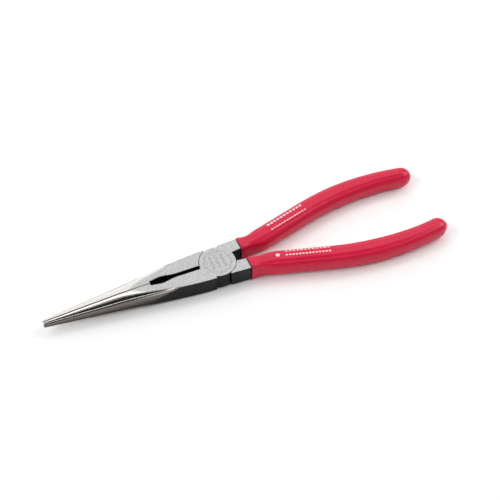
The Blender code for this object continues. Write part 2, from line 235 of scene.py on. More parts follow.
def slab(name: str, outline: np.ndarray, low: float, high: float, edge: float) -> bpy.types.Object:
    """Block with a flat outline and rounded top and bottom edges.

    The outline is carried up a profile: near each face it shrinks towards its inside by the edge's
    quarter circle.

    Args:
        name: The object's name.
        outline: Points of a convex outline.
        low: Height of the underside.
        high: Height of the top.
        edge: Radius of the rounded edges.

    Returns:
        The new object.
    """
    along = np.roll(outline, -1, axis=0) - np.roll(outline, 1, axis=0)
    along /= np.linalg.norm(along, axis=1, keepdims=True)
    inward = np.stack([-along[:, 1], along[:, 0]], axis=-1)
    centre = outline.mean(axis=0)
    inward *= np.sign(np.sum(inward * (centre - outline), axis=1, keepdims=True))
    inset, rise = quarter_round(edge)
    inset = np.concatenate([inset, inset[::-1]])
    height = np.concatenate([low + rise, (high - rise)[::-1]])
    flat = outline[None] + inset[:, None, None] * inward[None]
    level = np.broadcast_to(height[:, None, None], (len(height), len(outline), 1))
    return closed_piece(name, np.concatenate([flat, level], axis=-1))


def work(target: bpy.types.Object, tool: bpy.types.Object, fit: Fit) -> None:
    """Joins the tool's solid to the target, or cuts it away, and uses the tool up.

    Args:
        target: The object that is worked.
        tool: The object that is joined or cut away, removed afterwards.
        fit: Whether it is joined or cut.
    """
    modifier = target.modifiers.new(tool.name, "BOOLEAN")
    modifier.operation = fit.value
    modifier.solver = "EXACT"
    modifier.object = tool
    graph = bpy.context.evaluated_depsgraph_get()
    result = bpy.data.meshes.new_from_object(target.evaluated_get(graph))
    target.modifiers.clear()
    target.data = result
    bpy.data.objects.remove(tool)


def shade(piece: bpy.types.Object) -> None:
    """Shades round faces smooth and flat faces flat, with a clean line where they meet.

    Args:
        piece: The object that is shaded.
    """
    piece.data.shade_smooth()
    piece.data.set_sharp_from_angle(angle=SHARP_ANGLE)
    weighted = piece.modifiers.new("flat_faces_lead", "WEIGHTED_NORMAL")
    weighted.mode = "FACE_AREA"
    weighted.keep_sharp = True


def turn_over(piece: bpy.types.Object, thickness: float) -> None:
    """Turns a mesh half a turn about the tool's long axis, at mid-thickness.

    Args:
        piece: The object whose mesh is turned.
        thickness: Thickness of the joint.
    """
    count = len(piece.data.vertices)
    places = np.empty(count * 3, np.float32)
    piece.data.vertices.foreach_get("co", places)
    places = places.reshape(-1, 3) * (1, -1, -1) + (0, 0, thickness)
    piece.data.vertices.foreach_set("co", places.astype(np.float32).ravel())
    piece.data.update()


def fit_out(piece: bpy.types.Object, side: Side, node: str | None,
            surface: bpy.types.Material, thickness: float) -> None:
    """Shades, paints and mounts a finished piece on its side of the tool.

    Args:
        piece: The piece, modelled for the right side.
        side: The side it belongs to; a left piece is turned over.
        node: The CAD node that it stands for, or None for an addition to one.
        surface: The piece's material.
        thickness: Thickness of the joint.
    """
    if side is Side.LEFT:
        turn_over(piece, thickness)
    shade(piece)
    piece.data.materials.clear()
    piece.data.materials.append(surface)
    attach(piece, f"{side.value}_side")
    if node:
        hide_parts(node)
    LOG.info("%s: %d faces", piece.name, len(piece.data.polygons))


# ---------------------------------------------------------------- joint

@dataclass(frozen=True)
class Joint:
    """Sizes that the two halves and the rivet share, on the frame's own thickness."""

    thickness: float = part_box("pivot_rivet")[1].z
    disc_radius: float = 8.8 * MM
    seam: float = 0.25 * MM
    lap: float = 0.2 * MM
    shoulder_proud: float = 0.25 * MM
    jaw_shoulder_angle: float = math.radians(22.8)
    neck_shoulder_angle: float = math.radians(21.15)
    rivet_radius: float = 3.0 * MM
    head_radius: float = 4.0 * MM
    head_height: float = 1.0 * MM
    rivet_clearance: float = 0.06 * MM
    edge: float = 0.18 * MM
    overrun: float = 2.0 * MM
    segments: int = 180

    @property
    def middle(self) -> float:
        """Height of mid-thickness."""
        return self.thickness / 2

    @property
    def shoulder_half_width(self) -> float:
        """Half-width at the shoulders, just outside the disc."""
        return self.disc_radius + self.shoulder_proud

    @property
    def jaw_shoulder(self) -> float:
        """Distance from the pivot to the end of the jaw's shoulder."""
        return self.shoulder_half_width * math.tan(self.jaw_shoulder_angle)

    @property
    def neck_shoulder(self) -> float:
        """Distance from the pivot to the start of the neck's shoulder."""
        return self.shoulder_half_width * math.tan(self.neck_shoulder_angle)

    @property
    def pocket_radius(self) -> float:
        """Radius of the wall round the other half's disc."""
        return self.disc_radius + self.seam

    def rivet_solid(self, name: str, clearance: float, overrun: float) -> bpy.types.Object:
        """Shank with a countersunk head at each end.

        Args:
            name: The object's name.
            clearance: Added to every radius.
            overrun: Distance by which the cones run on past the faces.

        Returns:
            The new object.
        """
        cone = (self.head_radius - self.rivet_radius) / self.head_height
        shank = self.rivet_radius + clearance
        wide = self.head_radius + clearance + overrun * cone
        radius = np.array([wide, shank, shank, wide])
        height = np.array([-overrun, self.head_height, self.thickness - self.head_height,
                           self.thickness + overrun])
        return turned(name, radius, height, self.segments)


# ---------------------------------------------------------------- forged half

@dataclass(frozen=True)
class Nose:
    """The jaw: a tapered block, ground from the corners to a crowned cone towards the tip."""

    joint: Joint
    length: float = -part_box("right_half")[0].x
    root: float = 10.0 * MM
    root_drop: float = 0.3 * MM
    tip_half_width: float = 1.65 * MM
    tip_half_thickness: float = 1.55 * MM
    tip_edge: float = 0.25 * MM
    top_runout: float = 45.0 * MM
    side_runout: float = 36.0 * MM
    corner_runout: float = 21.0 * MM
    tip_corner: float = 1.1 * MM
    top_runout_corner: float = 2.0 * MM
    start_corner: float = 0.4 * MM
    crown_ratio: float = 0.21
    side_crown: float = 60.0 * MM
    side_flare: float = 0.01
    block_corner: float = 0.2 * MM
    block_corner_run: float = 7.0 * MM
    polish_blend: float = 0.5 * MM
    clearance: float = 0.1 * MM
    closing_edge: float = 0.18 * MM
    cutter_length: float = 11.9 * MM
    cutter_half_width: float = 1.0 * MM
    cutter_land: float = 0.2 * MM
    cutter_setback: float = 0.03 * MM
    oval_length: float = 13.0 * MM
    oval_front_half_width: float = 1.3 * MM
    oval_half_width: float = 2.0 * MM
    oval_widest: float = 5.5 * MM
    oval_teeth: int = 10
    tooth_height: float = 0.45 * MM
    groove_pitch: float = 1.0 * MM
    groove_depth: float = 0.12 * MM
    wall: float = 0.01 * MM
    top_columns: int = 14
    corner_columns: int = 26
    side_columns: int = 7

    @property
    def cutter_rear(self) -> float:
        """Place along X where the cutting edges end, at the wall of the pocket."""
        return -self.joint.pocket_radius

    @property
    def cutter_front(self) -> float:
        """Place along X where the cutting edges meet the toothed oval."""
        return self.cutter_rear - self.cutter_length

    @property
    def oval_front(self) -> float:
        """Place along X of the oval's front end."""
        return self.cutter_front - self.oval_length

    def stations(self) -> np.ndarray:
        """Places along X of the sections, from the tip to the shoulder.

        They are close at the tip's round edge, half a pitch apart along the grooves, one on each flank
        of the oval's teeth, and in pairs at the walls between the grooves, the oval and the cutter.

        Returns:
            The places, in rising order.
        """
        tip = -self.length + quarter_round(self.tip_edge)[1]
        grooves = np.arange(tip[-1] + self.groove_pitch / 2, self.oval_front - self.wall,
                            self.groove_pitch / 2)
        oval = np.linspace(self.oval_front + self.wall, self.cutter_front - self.wall,
                           2 * self.oval_teeth + 1)
        cutter = np.linspace(self.cutter_front + self.wall, self.cutter_rear - self.wall,
                             CUTTER_STATIONS)
        shoulder = -self.joint.jaw_shoulder - quarter_round(self.joint.edge)[0]
        root = run(self.cutter_rear + self.wall, shoulder[0], CUTTER_STATIONS // 2)
        return np.concatenate([tip, grooves, [self.oval_front - self.wall], oval, cutter, root,
                               shoulder])

    def block_half_width(self, x: np.ndarray) -> np.ndarray:
        """Half-width of the block: straight runs from the tip to the root and to the shoulder.

        Args:
            x: Places along X.

        Returns:
            The half-width at each place.
        """
        shoulder = self.joint.shoulder_half_width
        return np.interp(x, [-self.length, -self.root, -self.joint.jaw_shoulder],
                         [self.tip_half_width, shoulder - self.root_drop, shoulder])

    def closing_depth(self, x: np.ndarray, height: np.ndarray) -> np.ndarray:
        """Distance of the closing face from the closing plane.

        Ahead of the oval the face is flat with shallow cross grooves inside its edges.  In the oval a
        triangle wave of teeth rides on a smooth widening.  In the cutter the face falls away from the
        cutting edge at mid-thickness in a V.

        Args:
            x: Places along X, one row each.
            height: Heights from mid-thickness, as shares of the section's half-thickness.

        Returns:
            The depth at each place and height.
        """
        half = self.joint.middle
        grooved = (x < self.oval_front) & (np.abs(height) < GROOVE_SHARE)
        phase = np.round((x + self.length) / (self.groove_pitch / 2)) % 2
        plain = self.clearance + self.groove_depth * grooved * phase
        widening = ease(x, [self.oval_front, self.oval_front + self.oval_widest, self.cutter_front],
                        [self.oval_front_half_width, self.oval_half_width, self.cutter_half_width])
        flank = np.round((x - self.oval_front) / (self.oval_length / (2 * self.oval_teeth))) % 2
        oval = widening + self.tooth_height * (flank - 0.5)
        edge = self.clearance + self.cutter_setback
        land = self.cutter_land / 2
        slope = (self.cutter_half_width - edge) / (half - land)
        cutter = edge + slope * np.maximum(np.abs(height) * half - land, 0.0)
        in_oval = (x > self.oval_front) & (x < self.cutter_front)
        in_cutter = (x > self.cutter_front) & (x < self.cutter_rear)
        return np.where(in_oval, oval, np.where(in_cutter, cutter, plain))

    def quarter(self, x: np.ndarray) -> tuple[np.ndarray, np.ndarray]:
        """Upper outer quarter of each section, from the closing face's edge out and round to the side.

        A section is where the block, a rectangle with small round corners, and the ground cone overlap.
        The cone's section is a crown arc and a bowed side arc with a corner arc that touches both.
        Across the top and down the side the nearer of the two is taken; round the corner it is the
        shorter of the two rays from the section's centre.

        Args:
            x: Places along X, as a column.

        Returns:
            Distances from the closing plane, and heights from mid-thickness.
        """
        half = self.joint.middle
        tip_off = rounded_off(x + self.length, self.tip_edge)
        shoulder_off = rounded_off(-self.joint.jaw_shoulder - x, self.joint.edge)
        width = self.block_half_width(x) - tip_off - shoulder_off
        ground = x <= -self.corner_runout
        taper = (half - self.tip_half_thickness) / (self.length - self.top_runout)
        cone_half = half + taper * (x + self.top_runout) - tip_off
        cone_width = width + self.side_flare * np.maximum(0.0, x + self.side_runout)
        root_width = self.joint.shoulder_half_width - self.root_drop
        width_taper = (root_width - self.tip_half_width) / (self.length - self.root)
        apex = -self.length - self.tip_half_width / width_taper
        crown = self.crown_ratio * (x - apex)
        corner = np.interp(x, [-self.length, -self.top_runout, -self.corner_runout],
                           [self.tip_corner, self.top_runout_corner, self.start_corner])
        crown_height = cone_half - crown
        side_out = cone_width - self.side_crown
        apart = np.hypot(side_out, crown_height)
        across_unit = side_out / apart
        up_unit = -crown_height / apart
        along = ((crown - corner) ** 2 - (self.side_crown - corner) ** 2 + apart ** 2) / (2 * apart)
        off = np.sqrt((crown - corner) ** 2 - along ** 2)
        corner_out = across_unit * along + up_unit * off
        corner_up = crown_height + up_unit * along - across_unit * off
        crown_end = np.arctan2(corner_up - crown_height, corner_out)
        side_start = np.arctan2(corner_up, corner_out - side_out)
        crown_end_out = crown * np.cos(crown_end)
        side_start_up = self.side_crown * np.sin(side_start)
        crown_limit = np.arctan2(crown_height + crown * np.sin(crown_end), crown_end_out)
        side_limit = np.arctan2(side_start_up, side_out + self.side_crown * np.cos(side_start))

        small = np.interp(x, [-self.corner_runout, -self.corner_runout + self.block_corner_run],
                          [self.start_corner, self.block_corner])
        top_end = np.where(ground, np.minimum(crown_end_out, width - small), width - small)
        side_end = np.where(ground, np.minimum(side_start_up, half - small), half - small)

        def top_at(out: np.ndarray) -> np.ndarray:
            """Height of the top: the lower of crown and flat, with the polished line between them.

            Args:
                out: Distances from the closing plane.

            Returns:
                The height from mid-thickness at each distance.
            """
            arc = crown_height + np.sqrt(crown ** 2 - out ** 2)
            near = np.maximum(self.polish_blend - np.abs(arc - half), 0.0)
            blended = np.minimum(half, arc) - near ** 2 / (4 * self.polish_blend)
            return np.where(ground, blended, half)

        def side_at(up: np.ndarray) -> np.ndarray:
            """Distance of the side from the closing plane at a height."""
            arc = side_out + np.sqrt(self.side_crown ** 2 - up ** 2)
            return np.where(ground, np.minimum(width, arc), width)

        def ray(out: np.ndarray, up: np.ndarray, radius: np.ndarray, angle: np.ndarray) -> np.ndarray:
            """Length of a ray from the section's centre to a circle round (out, up)."""
            reach = out * np.cos(angle) + up * np.sin(angle)
            return reach + np.sqrt(np.maximum(reach ** 2 - out ** 2 - up ** 2 + radius ** 2, 0.0))

        depth = self.closing_depth(x, np.ones_like(x))
        edge = self.closing_edge
        fall, rise = quarter_round(edge)
        edge_out = depth + rise
        edge_up = top_at(depth + edge) - fall
        share = np.linspace(0.0, 1.0, self.top_columns)[None, 1:]
        top_out = depth + edge + (top_end - depth - edge) * share
        top_up = top_at(top_out)
        start = np.arctan2(top_at(top_end), top_end)
        end = np.arctan2(side_end, side_at(side_end))
        angle = start + (end - start) * np.linspace(0.0, 1.0, self.corner_columns)[None, 1:]
        cone_ray = np.where(
            angle > crown_limit, ray(0.0, crown_height, crown, angle),
            np.where(angle < side_limit, ray(side_out, 0.0, self.side_crown, angle),
                     ray(corner_out, corner_up, corner, angle)))
        block_ray = np.where(
            angle > np.arctan2(half, width - small), half / np.sin(angle),
            np.where(angle < np.arctan2(half - small, width), width / np.cos(angle),
                     ray(width - small, half - small, small, angle)))
        length = np.where(ground, np.minimum(cone_ray, block_ray), block_ray)
        side_up = side_end * (1 - np.linspace(0.0, 1.0, self.side_columns)[None, 1:])
        out = np.concatenate([edge_out, top_out, length * np.cos(angle), side_at(side_up)], axis=1)
        up = np.concatenate([edge_up, top_up, length * np.sin(angle), side_up], axis=1)
        return out, up

    def solid(self, name: str) -> bpy.types.Object:
        """The jaw from its tip to its shoulder, as sections carried along X.

        The upper outer quarter is repeated upside down below mid-thickness, and points of the closing
        face join the two, at shares of the section's height and at both edges of the cutter's land.

        Args:
            name: The object's name.

        Returns:
            The new object.
        """
        x = self.stations()[:, None]
        out, up = self.quarter(x)
        face_top = up[:, :1]
        share = np.array(CLOSING_HEIGHTS)[None]
        face_up = face_top * share
        land = np.broadcast_to(self.cutter_land / 2, face_top.shape)
        face_up = np.concatenate([-face_up[:, ::-1], -land, land, face_up], axis=1)
        face_out = self.closing_depth(x, face_up / self.joint.middle)
        ring_out = np.concatenate([out, out[:, -2::-1], face_out], axis=1)
        ring_up = np.concatenate([up, -up[:, -2::-1], face_up], axis=1)
        ring_x = np.broadcast_to(x, ring_out.shape)
        return closed_piece(name, np.stack([ring_x, -ring_out, self.joint.middle + ring_up], axis=-1))


CUTTER_STATIONS = 12
GROOVE_SHARE = 0.8
CLOSING_HEIGHTS = (0.25, 0.5, 0.78, 0.92)


@dataclass(frozen=True)
class Handle:
    """The handle's centre line and the sizes of the dipped grip along it."""

    joint: Joint
    end: float = 114.0 * MM
    neck_length: float = 4.6 * MM
    notch_half_width: float = 2.75 * MM
    inner_splay: float = 0.6 * MM
    outer_splay: float = 0.5 * MM
    lead_in: float = 16.7 * MM
    lead_in_rise: float = 2.55 * MM
    angle: float = math.radians(15.6)
    straight: float = 23.0 * MM
    arc_radius: float = 129.0 * MM
    mouth_gap: float = 0.15 * MM
    grip_gap: float = 0.3 * MM
    wall: float = 1.0 * MM
    tang_step: float = 0.1 * MM
    lip: float = 0.9 * MM
    waist_at: float = 5.0 * MM
    waist_half_width: float = 3.7 * MM
    waist_half_thickness: float = 4.7 * MM
    palm_at: float = 13.0 * MM
    palm_run: float = 43.7 * MM
    palm_half_width: float = 5.3 * MM
    palm_half_thickness: float = 4.95 * MM
    tail_half_width: float = 4.4 * MM
    tail_half_thickness: float = 4.85 * MM
    dome: float = 5.6 * MM
    tang_setback: float = 3.5 * MM
    mouth_squareness: float = 4.6
    palm_squareness: float = 2.6
    slope_step: float = 0.1 * MM

    @property
    def neck_end(self) -> float:
        """Place along X where the neck ends."""
        return self.joint.disc_radius + self.neck_length

    @property
    def neck_inner(self) -> float:
        """Distance of the neck's inner face from the closing plane, at its end."""
        return self.notch_half_width + self.inner_splay

    @property
    def neck_outer(self) -> float:
        """Distance of the neck's outer face from the closing plane, at its end."""
        return self.joint.shoulder_half_width + self.outer_splay

    @property
    def start(self) -> float:
        """Place along X of the grip's mouth."""
        return self.neck_end + self.mouth_gap

    def centre(self, x: np.ndarray) -> np.ndarray:
        """Distance of the centre line from the closing plane.

        A cubic leaves the neck level and reaches the handle's slope, a straight run follows, and then
        an arc turns the handle back towards the other one.

        Args:
            x: Places along X.

        Returns:
            The distance at each place.
        """
        slope = math.tan(self.angle)
        neck_centre = (self.neck_inner + self.neck_outer) / 2
        t = np.clip((x - self.neck_end) / self.lead_in, 0.0, 1.0)
        lead_in = (neck_centre + self.lead_in_rise * t * t * (3 - 2 * t)
                   + slope * self.lead_in * t * t * (t - 1))
        lead_in_end = self.neck_end + self.lead_in
        level = neck_centre + self.lead_in_rise
        straight = level + slope * (x - lead_in_end)
        arc_start = lead_in_end + self.straight
        from_peak = x - arc_start - self.arc_radius * math.sin(self.angle)
        fall = np.sqrt(self.arc_radius ** 2 - from_peak ** 2) - self.arc_radius * math.cos(self.angle)
        arc = level + slope * self.straight + fall
        return np.where(x < lead_in_end, lead_in, np.where(x < arc_start, straight, arc))

    def half_sizes(self, x: np.ndarray) -> tuple[np.ndarray, np.ndarray, np.ndarray]:
        """Sizes of the grip's outside, which swells from a waist to the palm and narrows to the tail.

        Args:
            x: Places along X.

        Returns:
            Half-width, half-thickness and squareness at each place.
        """
        waist = self.start + self.waist_at
        palm = self.start + self.palm_at
        places = [self.start, waist, palm, palm + self.palm_run, self.end]
        neck_half_width = (self.neck_outer - self.neck_inner) / 2
        half_width = ease(x, places, [neck_half_width + self.lip, self.waist_half_width,
                                      self.palm_half_width, self.palm_half_width,
                                      self.tail_half_width])
        half_thickness = ease(x, places, [self.joint.middle + self.lip, self.waist_half_thickness,
                                          self.palm_half_thickness, self.palm_half_thickness,
                                          self.tail_half_thickness])
        squareness = ease(x, [self.start, palm], [self.mouth_squareness, self.palm_squareness])
        return half_width, half_thickness, squareness

    def tang_inset(self, x: np.ndarray) -> np.ndarray:
        """Depth of the tang under the grip's outside."""
        return ease(x, [self.start, self.start + self.waist_at],
                    [self.lip + self.tang_step, self.wall + self.grip_gap])

    def rings(self, x: np.ndarray, inset: np.ndarray, shrink: np.ndarray,
              angle: np.ndarray) -> np.ndarray:
        """Rings square to the centre line, each on a superellipse.

        A point at an angle has cos and sin raised to 2 / squareness, times the half sizes.

        Args:
            x: Places along X.
            inset: Depth under the grip's outside at each place.
            shrink: Scale of each ring, for the round ends.
            angle: Angles round the ring, from the outer side upwards.

        Returns:
            Array of rings, points and coordinates.
        """
        half_width, half_thickness, squareness = self.half_sizes(x)
        power = (2 / squareness)[:, None]
        c, s = np.cos(angle)[None], np.sin(angle)[None]
        sideways = ((half_width - inset) * shrink)[:, None] * np.sign(c) * np.abs(c) ** power
        upwards = ((half_thickness - inset) * shrink)[:, None] * np.sign(s) * np.abs(s) ** power
        return self.place(x[:, None], sideways, upwards)

    def place(self, x: np.ndarray, sideways: np.ndarray, upwards: np.ndarray) -> np.ndarray:
        """Points given by their offsets from the centre line, square to it.

        Args:
            x: Places of the sections along X.
            sideways: Offsets outwards in the handle's plane.
            upwards: Offsets along Z.

        Returns:
            The points' coordinates, in a last axis of three.
        """
        rise = self.centre(x + self.slope_step) - self.centre(x - self.slope_step)
        slope = rise / (2 * self.slope_step)
        length = np.sqrt(1 + slope ** 2)
        return np.stack(np.broadcast_arrays(x - slope / length * sideways,
                                            self.centre(x) + sideways / length,
                                            self.joint.middle + upwards), axis=-1)

    def skin(self, x: np.ndarray, sideways: np.ndarray, lift: float) -> np.ndarray:
        """Points of the grip's upper skin above given offsets from the centre line.

        The height is half_thickness times (1 - (sideways / half_width) ^ n) ^ (1 / n), n the squareness.

        Args:
            x: Places along X.
            sideways: Offsets outwards in the handle's plane.
            lift: Height above the skin.

        Returns:
            The points' coordinates, in a last axis of three.
        """
        half_width, half_thickness, squareness = self.half_sizes(x)
        across = np.abs(sideways / half_width) ** squareness
        return self.place(x, sideways, half_thickness * (1 - across) ** (1 / squareness) + lift)

    def domed(self, end: float) -> tuple[np.ndarray, np.ndarray]:
        """Rings over a round end, from near its pole back to its start, on a quarter circle.

        Args:
            end: Place along X of the end's pole.

        Returns:
            Places along X and scales of the rings.
        """
        angle = np.linspace(POLE_ANGLE, 0.0, DOME_RINGS)
        return end - self.dome + self.dome * np.sin(angle), np.cos(angle)


POLE_ANGLE = math.radians(88.5)
DOME_RINGS = 16


@dataclass(frozen=True)
class StampedMarks:
    """Plain ticks stamped in the disc: a ring of radial ones round three short columns."""

    joint: Joint
    ring: float = 6.5 * MM
    ring_count: int = 40
    ring_length: float = 1.0 * MM
    column_pitch: float = 2.9 * MM
    column_half_height: float = 3.6 * MM
    column_count: int = 8
    column_length: float = 1.5 * MM
    half_width: float = 0.16 * MM
    depth: float = 0.09 * MM

    def cutter(self, name: str) -> bpy.types.Object:
        """Cutter for every tick at once: blocks that narrow with depth.

        A block's corner is its centre, plus its half-length along its direction and its half-width
        across it, both scaled by 1 + taper above the face and 1 - taper below.

        Args:
            name: The object's name.

        Returns:
            The new object, a mesh of separate closed blocks.
        """
        turn = run(0.0, 2 * math.pi, self.ring_count)
        ring = np.stack([np.cos(turn), np.sin(turn)], axis=-1)
        row = np.linspace(-self.column_half_height, self.column_half_height, self.column_count)
        across, up = np.meshgrid([-self.column_pitch, 0.0, self.column_pitch], row)
        columns = np.stack([across.ravel(), up.ravel()], axis=-1)
        centre = np.concatenate([self.ring * ring, columns])
        along = np.concatenate([ring, np.broadcast_to([1.0, 0.0], columns.shape)])
        half_length = np.concatenate([np.full(len(ring), self.ring_length / 2),
                                      np.full(len(columns), self.column_length / 2)])
        beside = np.stack([-along[:, 1], along[:, 0]], axis=-1)
        side = np.array([(-1, -1), (1, -1), (1, 1), (-1, 1)])
        level = np.array([-1.0, 1.0])
        spread = (1 + level * MARK_TAPER)[None, :, None, None]
        flat = centre[:, None, None] + spread * (
            half_length[:, None, None, None] * side[None, None, :, :1] * along[:, None, None]
            + self.half_width * side[None, None, :, 1:] * beside[:, None, None])
        height = (self.joint.thickness + self.depth * level)[None, :, None, None]
        height = np.broadcast_to(height, (*flat.shape[:-1], 1))
        return closed_pieces(name, np.concatenate([flat, height], axis=-1))


MARK_TAPER = 0.3


@dataclass(frozen=True)
class ForgedHalf:
    """One forging: jaw, disc of the lap joint, neck and tang, with its ground and blackened faces."""

    joint: Joint
    nose: Nose
    handle: Handle
    side: Side
    surface: bpy.types.Material
    tang_columns: int = 40

    def disc(self) -> bpy.types.Object:
        """Disc with a rounded rim, a quarter circle carried round the pivot.

        Returns:
            The new object.
        """
        joint = self.joint
        fall, rise = quarter_round(joint.edge)
        radius = np.append(joint.disc_radius, joint.disc_radius - rise)
        height = np.append(joint.middle / 2, joint.thickness - fall)
        return turned("disc", radius, height, joint.segments)

    def pocket(self) -> bpy.types.Object:
        """Room for the other half's disc, with the broken edge of its wall at the underside.

        Returns:
            The new object.
        """
        joint = self.joint
        wall = joint.pocket_radius
        fall, rise = quarter_round(joint.edge)
        radius = np.concatenate([[wall + joint.edge], wall + fall, [wall]])
        height = np.concatenate([[-joint.overrun], rise, [joint.middle + joint.lap / 2]])
        return turned("pocket", radius, height, joint.segments)

    def neck(self) -> bpy.types.Object:
        """Block between the disc and the grip, widening a little towards the grip.

        Returns:
            The new object.
        """
        joint, handle = self.joint, self.handle
        rim = math.sqrt(joint.disc_radius ** 2 - handle.notch_half_width ** 2)
        corners = np.array([(joint.neck_shoulder, joint.shoulder_half_width),
                            (handle.neck_end, handle.neck_outer),
                            (handle.neck_end, handle.neck_inner),
                            (rim, handle.notch_half_width),
                            (joint.neck_shoulder, handle.notch_half_width)])
        outline = rounded_outline(corners, NECK_CORNER, NECK_CORNER_POINTS)
        return slab("neck", outline, 0.0, joint.thickness, joint.edge)

    def tang(self) -> bpy.types.Object:
        """The part of the forging inside the grip, with its root in the neck.

        Returns:
            The new object.
        """
        handle = self.handle
        tail, scale = handle.domed(handle.end - handle.tang_setback)
        straight = np.linspace(tail[-1], handle.neck_end - self.joint.overrun, TANG_RINGS)[1:]
        x = np.concatenate([tail, straight])
        shrink = np.concatenate([scale, np.ones(len(straight))])
        angle = run(0.0, 2 * math.pi, self.tang_columns)
        return closed_piece("tang", handle.rings(x, handle.tang_inset(x), shrink, angle))

    def build(self) -> bpy.types.Object:
        """Joins the forging's parts, cuts the joint into it and fits it out.

        Returns:
            The finished piece.
        """
        joint = self.joint
        half = self.nose.solid(f"{self.side.value}_forging")
        work(half, self.disc(), Fit.JOIN)
        work(half, self.neck(), Fit.JOIN)
        work(half, self.pocket(), Fit.CUT)
        work(half, joint.rivet_solid("rivet_hole", joint.rivet_clearance, joint.overrun), Fit.CUT)
        work(half, self.tang(), Fit.JOIN)
        work(half, StampedMarks(joint).cutter("marks"), Fit.CUT)
        fit_out(half, self.side, f"{self.side.value}_half", self.surface,
                joint.thickness)
        return half


NECK_CORNER = 0.3 * MM
NECK_CORNER_POINTS = 5
TANG_RINGS = 24


@dataclass(frozen=True)
class PivotRivet:
    """The rivet: a turned pin with two countersunk heads, ground flush with both faces."""

    joint: Joint
    surface: bpy.types.Material
    seam: float = 0.02 * MM

    def build(self) -> bpy.types.Object:
        """Builds the rivet a hair smaller than its hole and fits it out.

        Returns:
            The finished piece.
        """
        joint = self.joint
        rivet = joint.rivet_solid("flush_rivet", joint.rivet_clearance - self.seam, 0.0)
        work(rivet, StampedMarks(joint).cutter("upper_marks"), Fit.CUT)
        lower_marks = StampedMarks(joint).cutter("lower_marks")
        turn_over(lower_marks, joint.thickness)
        work(rivet, lower_marks, Fit.CUT)
        fit_out(rivet, Side.RIGHT, "pivot_rivet", self.surface, joint.thickness)
        return rivet


@dataclass(frozen=True)
class DippedGrip:
    """A sleeve of dipped PVC on the tang, with a rolled lip at its mouth and a round tail."""

    joint: Joint
    handle: Handle
    side: Side
    surface: bpy.types.Material
    columns: int = 96
    ring_spacing: float = 0.9 * MM

    def build(self) -> bpy.types.Object:
        """Carries one closed profile from the tail over the lip and back inside, and fits it out.

        Returns:
            The finished piece.
        """
        handle = self.handle
        inner = handle.tang_inset(np.array([handle.start]))[0] - handle.grip_gap
        lip = inner / 2
        roll = np.linspace(0.0, math.pi, LIP_RINGS)
        lip_x = handle.start + lip * (1 - np.sin(roll))
        lip_inset = lip * (1 - np.cos(roll))
        tail, scale = handle.domed(handle.end)
        count = int((tail[-1] - lip_x[0]) / self.ring_spacing)
        outer = np.linspace(tail[-1], lip_x[0], count)[1:-1]
        bore_tail, bore_scale = handle.domed(handle.end - handle.tang_setback + handle.grip_gap)
        bore = np.linspace(lip_x[-1], bore_tail[-1], count // 3)[1:-1]
        bore_inset = handle.tang_inset(bore) - handle.grip_gap
        x = np.concatenate([tail, outer, lip_x, bore, bore_tail[::-1]])
        inset = np.concatenate([np.zeros(len(tail) + len(outer)), lip_inset, bore_inset,
                                handle.tang_inset(bore_tail[::-1]) - handle.grip_gap])
        shrink = np.concatenate([scale, np.ones(len(outer) + len(roll) + len(bore)), bore_scale[::-1]])
        angle = run(0.0, 2 * math.pi, self.columns)
        grip = closed_piece(f"{self.side.value}_dipped_grip", handle.rings(x, inset, shrink, angle))
        fit_out(grip, self.side, f"{self.side.value}_grip", self.surface,
                self.joint.thickness)
        return grip


LIP_RINGS = 9


